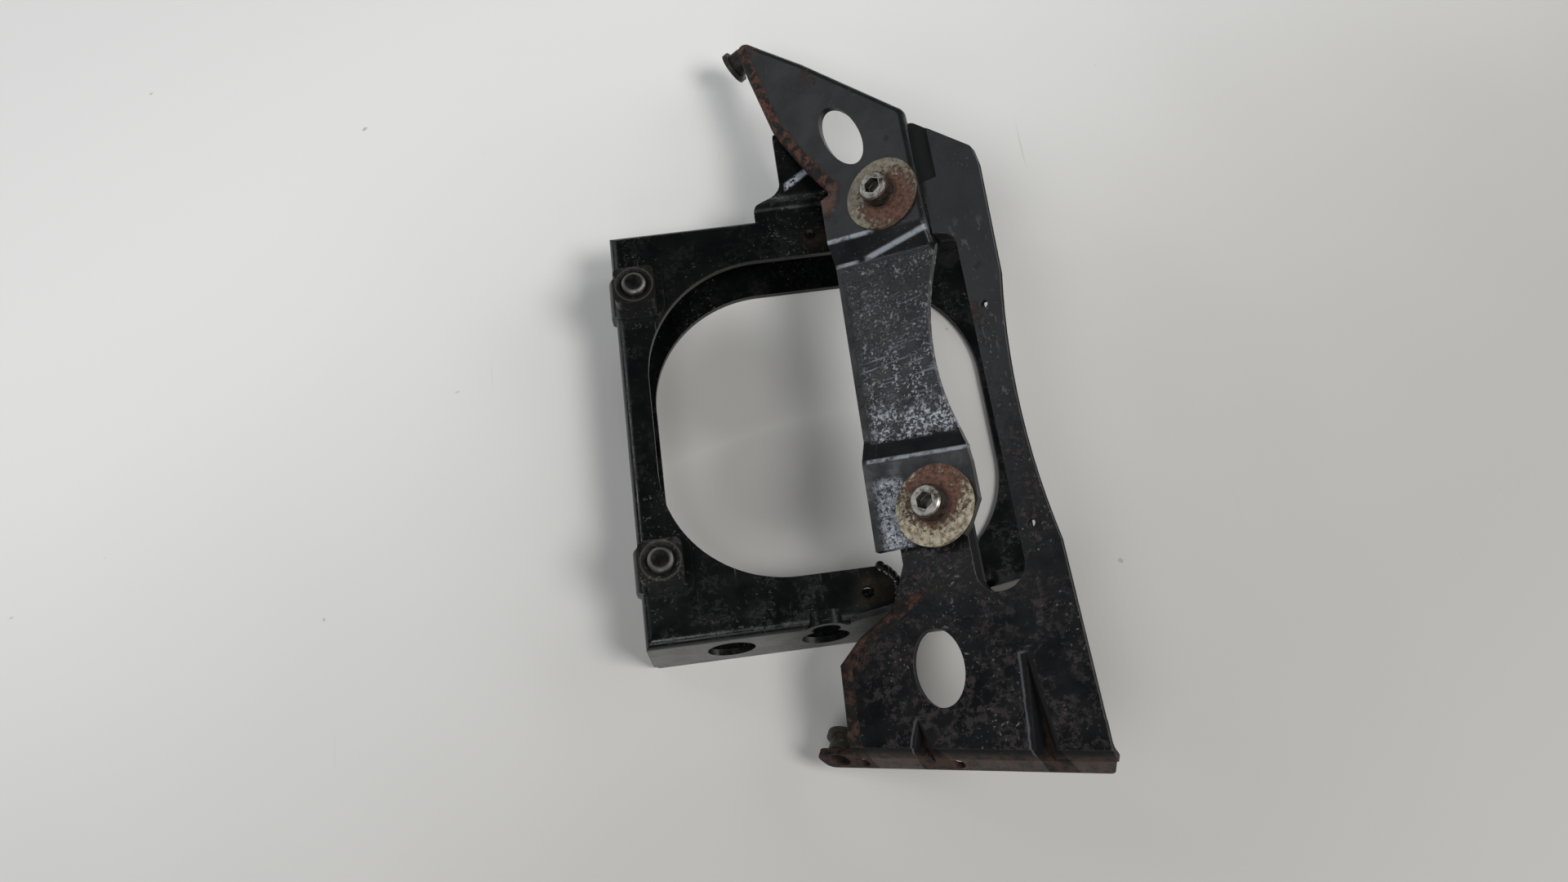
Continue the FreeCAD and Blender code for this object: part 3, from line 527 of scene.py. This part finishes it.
def gritty_middle(paint):
    """Pale grit, partly painted glints, and cross marks on the strap's middle and on its lower tab, and rust
    round the notch.
    """
    tree, coords, u, v = paint.tree, paint.coords, paint.u, paint.v
    slanted = slanted_length(paint)
    middle = times(tree, step(tree, slanted, 48.8, 50.3), step(tree, slanted, 113.5, 111.5))
    tab = times(tree, step(tree, slanted, 37.5, 34.0), step(tree, u, -6.0, -11.0))
    black = most(tree, times(tree, middle, 0.8), times(tree, step(tree, slanted, 50.0, 47.0), 0.7))
    zone = times(tree, most(tree, middle, tab), step(tree, u, -19.7, -16.8))

    # Fine grit everywhere in the zone, coarser just above the lower joggle, broken into islands.
    grit = flecks(tree, coords, 1050.0, 0.525, 0.565, 4.0, 0.72)
    coarse = times(tree, flecks(tree, coords, 700.0, 0.5, 0.54, 5.0, 0.75), step(tree, slanted, 67.0, 56.0))
    islands = flecks(tree, coords, 190.0, 0.4, 0.52, 4.0, 0.7)
    grit_and_glints = times(tree, most(tree, grit, coarse), islands, zone)
    across = times(tree, scratches(tree, paint.slope, 0.12, (90.0, 1300.0, 60.0), 0.58, 0.66), zone)
    across_share = plus(tree, 0.3, times(tree, stripe(tree, slanted, 76.0, 16.0), 0.5))
    crackle_and_glints = times(tree, tab, flecks(tree, coords, 520.0, 0.47, 0.55, 7.0, 0.8), stripe(tree, u, -14.5, 6.0))
    notch = times(tree, spots(tree, u, v, NOTCH_RUST), flecks(tree, coords, 330.0, 0.36, 0.48, 6.0, 0.75))

    # The pale grit and the crackle on the tab are partly painted glints, and the grit is brighter towards the
    # lower end.
    base = paint.shader.inputs["Base Color"]
    bright = blend(tree, step(tree, v, 95.0, 55.0), (0.2, 0.215, 0.24), (0.5, 0.53, 0.58))
    colour = blend(tree, black, feeding(base), (0.0025, 0.0027, 0.0032))
    colour = lay(tree, colour, grit_and_glints, 0.85, bright)
    colour = lay(tree, colour, across, across_share, (0.2, 0.22, 0.25))
    colour = lay(tree, colour, crackle_and_glints, 0.9, (0.5, 0.54, 0.6))
    colour = lay(tree, colour, notch, 0.9, (0.12, 0.066, 0.052))
    tree.links.new(colour, base)
    relief = feeding(paint.shader.inputs["Normal"]).node.inputs["Height"]
    tree.links.new(plus(tree, feeding(relief), times(tree, grit_and_glints, 2.2), across), relief)


def shine_on_bends(paint):
    """Bright lines that stand for the light on the bends of the two joggles."""
    tree, u = paint.tree, paint.u
    slanted = slanted_length(paint)
    steeper = minus(tree, paint.v, times(tree, u, UPPER_BEND_FALL))
    upper = times(tree, stripe(tree, slanted, 122.3, 1.1), step(tree, u, -3.0, -6.0))
    long = times(tree, stripe(tree, steeper, 116.5, 1.2), step(tree, u, -10.5, -8.5),
                 step(tree, u, 14.5, 13.5))
    short = times(tree, stripe(tree, slanted, 114.2, 0.8), step(tree, u, -11.5, -13.5))
    low = times(tree, stripe(tree, slanted, 42.6, 1.0), step(tree, u, -20.5, -19.5))
    broken = flecks(tree, paint.coords, 260.0, 0.3, 0.55, 4.0, 0.7)
    lines = times(tree, most(tree, upper, long, short, low), broken)
    base = paint.shader.inputs["Base Color"]
    tree.links.new(lay(tree, feeding(base), lines, 0.8, (0.36, 0.39, 0.43)), base)


strap_paint = black_paint("strap_paint", (0.007, 0.0074, 0.0078), (0.013, 0.0134, 0.0138), 0.25, 0.3, 0.2,
                          ARM_RUST, ARM_EDGE, (142.0, 147.0))
gritty_middle(strap_paint)
shine_on_bends(strap_paint)
print("strap paint has", len(strap_paint.tree.nodes), "nodes")

# %% [markdown]
# The washers were zinc plated. Rust has come out round the screw and run outwards, and the rim has kept
# its cream-grey plating in flakes. Noise alone would scatter the rust, so a radius from the washer's centre
# gathers it, and noise only makes its edge ragged. A Mapping node gives that centre.

# %% Rusty zinc washers
def washer_finish(name, u, v, reach, turn, zinc_dark, zinc_pale):
    """Cream zinc with a rusty middle that reaches out to a radius in millimetres, more to one side."""
    material, tree, shader = start_paint(name, 0.5, 0.5)
    shader.inputs["Metallic"].default_value = 0.25
    centre = flat_coords(tree, tuple(on_slope(u, v, 0.0)), SLOPE_TURN)
    x, y, z = parts_of(tree, centre)
    radius = distance(tree, x, y)
    lean = plus(tree, times(tree, x, math.cos(turn)), times(tree, y, math.sin(turn)))
    ragged = times(tree, minus(tree, grain(tree, centre, 340.0, 8.0, 0.85), 0.5), 45.0 * MM)
    edge = plus(tree, minus(tree, radius, times(tree, lean, 0.45)), ragged)
    rust = step(tree, edge, reach + 1.2, reach - 1.0)
    zinc = blend(tree, flecks(tree, centre, 520.0, 0.35, 0.62, 6.0, 0.75), zinc_dark, zinc_pale)
    brown = blend(tree, flecks(tree, centre, 650.0, 0.36, 0.62, 6.0, 0.75), (0.06, 0.03, 0.02),
                  (0.2, 0.1, 0.068))
    colour = blend(tree, rust, zinc, brown)
    colour = lay(tree, colour, step(tree, radius, 6.8, 5.2), 0.75, (0.035, 0.018, 0.013))
    rough = plus(tree, 0.42, times(tree, rust, 0.35))
    height = plus(tree, grain(tree, centre, 600.0, 4.0, 0.6), rust)
    finish_paint(tree, shader, colour, rough, height, 0.00015)
    return material


LOWER_SCREW, UPPER_SCREW = (0.0, 25.5), (2.1, 134.1)
lower_washer_finish = washer_finish("lower_washer_finish", *LOWER_SCREW, 9.0, 1.3, (0.14, 0.1, 0.065),
                                    (0.55, 0.49, 0.36))
upper_washer_finish = washer_finish("upper_washer_finish", *UPPER_SCREW, 8.6, -0.9, (0.13, 0.105, 0.075),
                                    (0.28, 0.25, 0.19))
print("two washer finishes made")

# %% [markdown]
# The screws are plain steel gone dull: grey with brown in the corners, brighter on the rim that a key has
# rubbed. The studs' ends are the same steel under traces of paint, and the nuts round them are painted.
# Dark and bright rings round each stud could be cut in the mesh. They are only wear, painted shade in the
# nut's gap round the stud and a painted highlight on the nut's rounded edge, though, so they are stripes on
# the distance from the stud's middle.

# %% Dull steel and painted nuts
STUD_X, STUD_Y = 3.2, 48.3
RING_HEIGHTS = (32.5, 33.5)


def dull_steel(name, dark, bright, rim, rust_low, roughness, rubbed_top=0.0):
    """Old steel; rubbed_top is the height in W, in millimetres, of a face that keys have rubbed."""
    material, tree, shader = start_paint(name, roughness, 0.5)
    shader.inputs["Metallic"].default_value = 0.85
    coords = object_coords(tree)
    tone = grain(tree, coords, 500.0, 5.0, 0.65)
    rust = flecks(tree, coords, 320.0, rust_low, rust_low + 0.1, 5.0, 0.7)
    colour = blend(tree, mask(tree, tone, 0.35, 0.65), dark, bright)
    colour = blend(tree, rust, colour, (0.09, 0.05, 0.032))
    if rubbed_top:
        w = parts_of(tree, flat_coords(tree, SLOPE_PLACE, SLOPE_TURN))[2]
        top = times(tree, step(tree, w, rubbed_top - 0.5, rubbed_top - 0.1), mask(tree, tone, 0.3, 0.6))
        colour = blend(tree, top, colour, (0.4, 0.38, 0.34))
    colour = lay(tree, colour, mask(tree, rubbed_edges(tree, 0.0007), 0.03, 0.2), 0.8, rim)
    rough = plus(tree, roughness, times(tree, rust, 0.35))
    height = plus(tree, times(tree, tone, 0.8), rust)
    finish_paint(tree, shader, colour, rough, height, 0.0001)
    return material


def rings(material, bands):
    """Rings round both studs: each has a radius and a half width in millimetres, a colour and a share."""
    tree = material.node_tree
    base = tree.nodes["Principled BSDF"].inputs["Base Color"]
    x, y, z = parts_of(tree, object_coords(tree))
    along = minus(tree, calc(tree, "ABSOLUTE", y), STUD_Y * MM)
    radius = distance(tree, minus(tree, x, STUD_X * MM), along)
    top = step(tree, z, *RING_HEIGHTS)
    for middle, half, tint, share in bands:
        band = times(tree, stripe(tree, radius, middle, half), top)
        tree.links.new(lay(tree, feeding(base), band, share, tint), base)


screw_steel = dull_steel("screw_steel", (0.04, 0.035, 0.031), (0.12, 0.11, 0.1), (0.5, 0.48, 0.44),
                         0.54, 0.36, rubbed_top=6.0)
stud_steel = dull_steel("stud_steel", (0.02, 0.02, 0.02), (0.07, 0.07, 0.067), (0.2, 0.2, 0.19), 0.75, 0.34)
nut_paint = black_paint("nut_paint", (0.003, 0.0034, 0.0034), (0.01, 0.01, 0.0098), 0.22, 0.5, 0.4,
                        patchy=0.2)
old_nut = black_paint("old_nut", (0.012, 0.01, 0.007), (0.04, 0.034, 0.022), 0.42, 1.0, 0.5, patchy=0.5)
rings(stud_steel, [(0.0, 2.6, (0.016, 0.015, 0.014), 0.8), (3.4, 0.8, (0.3, 0.29, 0.27), 0.85)])
# On the nuts: painted shade in the gap round the stud, and a painted highlight on the rounded edge.
rings(nut_paint.material, [(4.6, 0.7, (0.001, 0.001, 0.001), 0.9), (6.2, 0.5, (0.06, 0.05, 0.043), 0.6)])
print("steel and nut finishes made")

# %% [markdown]
# Every CAD node keeps its own mesh and place. A finish goes into the node's material slots, and pieces of
# one kind share one material.

# %% Give the CAD nodes their finishes
finishes = {
    frame_paint.material: ("channel_frame", "bottom_ring", "lower_nut_pad", "upper_nut_pad"),
    rail_paint.material: ("rail_plate",),
    strap_paint.material: ("cross_strap",),
    lower_washer_finish: ("lower_washer",),
    upper_washer_finish: ("upper_washer",),
    screw_steel: ("lower_cap_screw", "upper_cap_screw", "lower_hex_nut", "upper_hex_nut"),
    stud_steel: ("lower_stud", "upper_stud"),
    nut_paint.material: ("lower_square_nut", "upper_square_nut"),
    old_nut.material: ("arm_edge_nut", "flange_edge_nut"),
}
for material, names in finishes.items():
    for name in names:
        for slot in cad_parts[name].material_slots:
            slot.material = material
    print(material.name, "on", ", ".join(names))

# %% [markdown]
# What repeats is made by Geometry Nodes. A tree has named inputs, which a modifier sets through each
# socket's identifier, and the result is kept as a plain mesh, so the piece no longer needs the modifier.

# %% Tools for repeated shapes
def geometry_tree(name, inputs):
    """A tree with one geometry output and named inputs."""
    tree = bpy.data.node_groups.new(name, "GeometryNodeTree")
    tree.interface.new_socket("Geometry", in_out="OUTPUT", socket_type="NodeSocketGeometry")
    sockets = {}
    for label, (kind, value) in inputs.items():
        socket = tree.interface.new_socket(label, in_out="INPUT", socket_type=kind)
        socket.default_value = value
        sockets[label] = socket.identifier
    return tree, sockets, tree.nodes.new("NodeGroupInput"), tree.nodes.new("NodeGroupOutput")


def made_by(tree, sockets, name, values):
    """Runs a tree on an empty mesh and keeps the result as a plain mesh object."""
    holder = bpy.data.objects.new(name, bpy.data.meshes.new(name + "_start"))
    bpy.context.scene.collection.objects.link(holder)
    modifier = holder.modifiers.new("make", "NODES")
    modifier.node_group = tree
    for label, value in values.items():
        modifier[sockets[label]] = value
    graph = bpy.context.evaluated_depsgraph_get()
    mesh = bpy.data.meshes.new_from_object(holder.evaluated_get(graph))
    holder.modifiers.clear()
    holder.data = mesh
    mesh.name = name
    print(name, len(mesh.polygons), "faces")
    return holder


def curved_line(name, points, height):
    """A smooth curve through the neighbourhood of its points, in millimetres."""
    data = bpy.data.curves.new(name, "CURVE")
    data.dimensions = "3D"
    spline = data.splines.new("NURBS")
    spline.points.add(len(points) - 1)
    for point, (x, y) in zip(spline.points, points):
        point.co = (x * MM, y * MM, height * MM, 1.0)
    spline.order_u = 3
    spline.use_endpoint_u = True
    line = bpy.data.objects.new(name, data)
    bpy.context.scene.collection.objects.link(line)
    return line


print("helpers for repeated shapes ready")

# %% [markdown]
# Where the rail plate's leg comes down on the frame's rounded lobe, a hand-laid weld joins them. Its look is
# a row of overlapping ripples. A swept tube would be too even, so Geometry Nodes set flattened drops along
# a curved line, with a fixed seed for their small differences in size. The export drops instances, so the
# tree makes them real.

# %% Weld bead on the lobe
WELD_LINE = [(69.5, -56.8), (73.2, -59.6), (74.4, -64.3), (73.2, -68.8)]
WELD_HEIGHT = 26.0

inputs = {"Size": ("NodeSocketFloat", 0.0016), "Step": ("NodeSocketFloat", 0.0009),
          "Seed": ("NodeSocketInt", 4)}
bead, bead_sockets, source, target = geometry_tree("weld_bead", inputs)
weld_path = curved_line("weld_line", WELD_LINE, WELD_HEIGHT)
path = add(bead, "GeometryNodeObjectInfo", {"Object": weld_path})
steps = add(bead, "GeometryNodeCurveToPoints",
            {"Curve": path.outputs["Geometry"], "Length": source.outputs["Step"]}, mode="LENGTH")
drop = add(bead, "GeometryNodeMeshIcoSphere", {"Radius": source.outputs["Size"], "Subdivisions": 2})
vary = add(bead, "FunctionNodeRandomValue", {"Seed": source.outputs["Seed"]}, data_type="FLOAT_VECTOR")
vary.inputs[0].default_value = (0.75, 0.8, 0.3)
vary.inputs[1].default_value = (1.1, 1.2, 0.5)
row = add(bead, "GeometryNodeInstanceOnPoints",
          {"Points": steps.outputs["Points"], "Instance": drop.outputs[0], "Scale": vary.outputs[0]})
real = add(bead, "GeometryNodeRealizeInstances", {0: row.outputs[0]})
smooth = add(bead, "GeometryNodeSetShadeSmooth", {"Geometry": real.outputs[0]})
dressed = add(bead, "GeometryNodeSetMaterial",
              {"Geometry": smooth.outputs[0], "Material": frame_paint.material})
bead.links.new(dressed.outputs[0], target.inputs[0])
weld = made_by(bead, bead_sockets, "lobe_weld", {"Seed": 4})
bpy.data.objects.remove(weld_path)
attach(weld, "root")

# %% [markdown]
# The table is a pale board. Its colour has a painted falloff of light, from bright at the upper left to grey
# at the lower right, and a painted shade and reflection inside the window, where the bracket shades it and
# mirrors in it. Both are laid in its colour, with a few faint scratches and dots so that it doesn't look like
# a screen.

# %% Table
TABLE_SHADE = ((33.0, 22.0, 50.0), (40.0, -12.0, 46.0))


def table_finish():
    material, tree, shader = start_paint("pale_board", 0.55, 0.3)
    coords = object_coords(tree)
    x, y, z = parts_of(tree, coords)
    clouds = times(tree, grain(tree, coords, 3.0, 3.0), 0.12)
    # Painted falloff of light: brighter towards the upper left, greyer towards the lower right.
    lean = plus(tree, times(tree, x, -0.55), times(tree, y, 0.9), clouds)
    tone = blend(tree, mask(tree, lean, -0.15, 0.28), (0.44, 0.43, 0.41), (0.91, 0.91, 0.89))
    lines = times(tree, scratches(tree, coords, 0.9, (160.0, 5.0, 5.0), 0.735, 0.76), 0.3)
    dots = times(tree, flecks(tree, coords, 130.0, 0.8, 0.83, 1.0, 0.4), 0.5)
    tone = blend(tree, most(tree, lines, dots), tone, (0.22, 0.19, 0.15))
    # Painted shade and reflection inside the window.
    tone = lay(tree, tone, spots(tree, x, y, TABLE_SHADE), 0.55, (0.085, 0.08, 0.072))
    tree.links.new(tone, shader.inputs["Base Color"])
    return material


mesh = bpy.data.meshes.new("table")
shape = bmesh.new()
bmesh.ops.create_grid(shape, x_segments=2, y_segments=2, size=2.5)
shape.to_mesh(mesh)
shape.free()
table = bpy.data.objects.new("table", mesh)
bpy.context.scene.collection.objects.link(table)
table.location = (0.0, 0.0, -0.0002)
mesh.materials.append(table_finish())
print("table laid")
